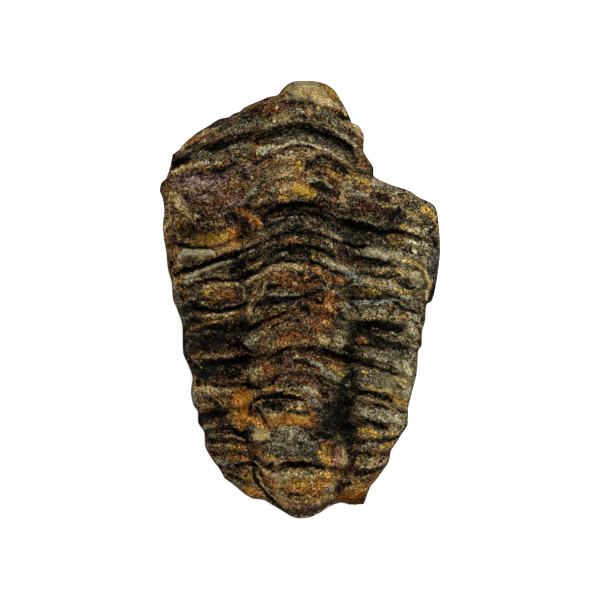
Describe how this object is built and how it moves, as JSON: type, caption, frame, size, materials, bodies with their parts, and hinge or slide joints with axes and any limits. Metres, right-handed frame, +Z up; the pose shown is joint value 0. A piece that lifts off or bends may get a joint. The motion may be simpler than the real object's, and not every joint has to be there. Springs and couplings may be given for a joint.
{
  "type": "trilobite fossil",
  "caption": "Weathered fossil trilobite free of its rock: a domed, ribbed back with one broken cheek, on a flat worn underside.",
  "frame": {"origin": "middle of the bounding box's underside, on the flat worn base", "axes": "+Y towards the head, +Z up out of the back, +X to the right with the head away from the viewer"},
  "size_m": [0.0468, 0.073, 0.0212],
  "materials": {
    "fossil_stone": "rough mineral crust, near black in the grooves, grey-tan on the crests, with rust, ochre and mauve stains"
  },
  "bodies": {
    "root": {"trilobite_fossil": "fossil_stone"}
  },
  "joints": []
}
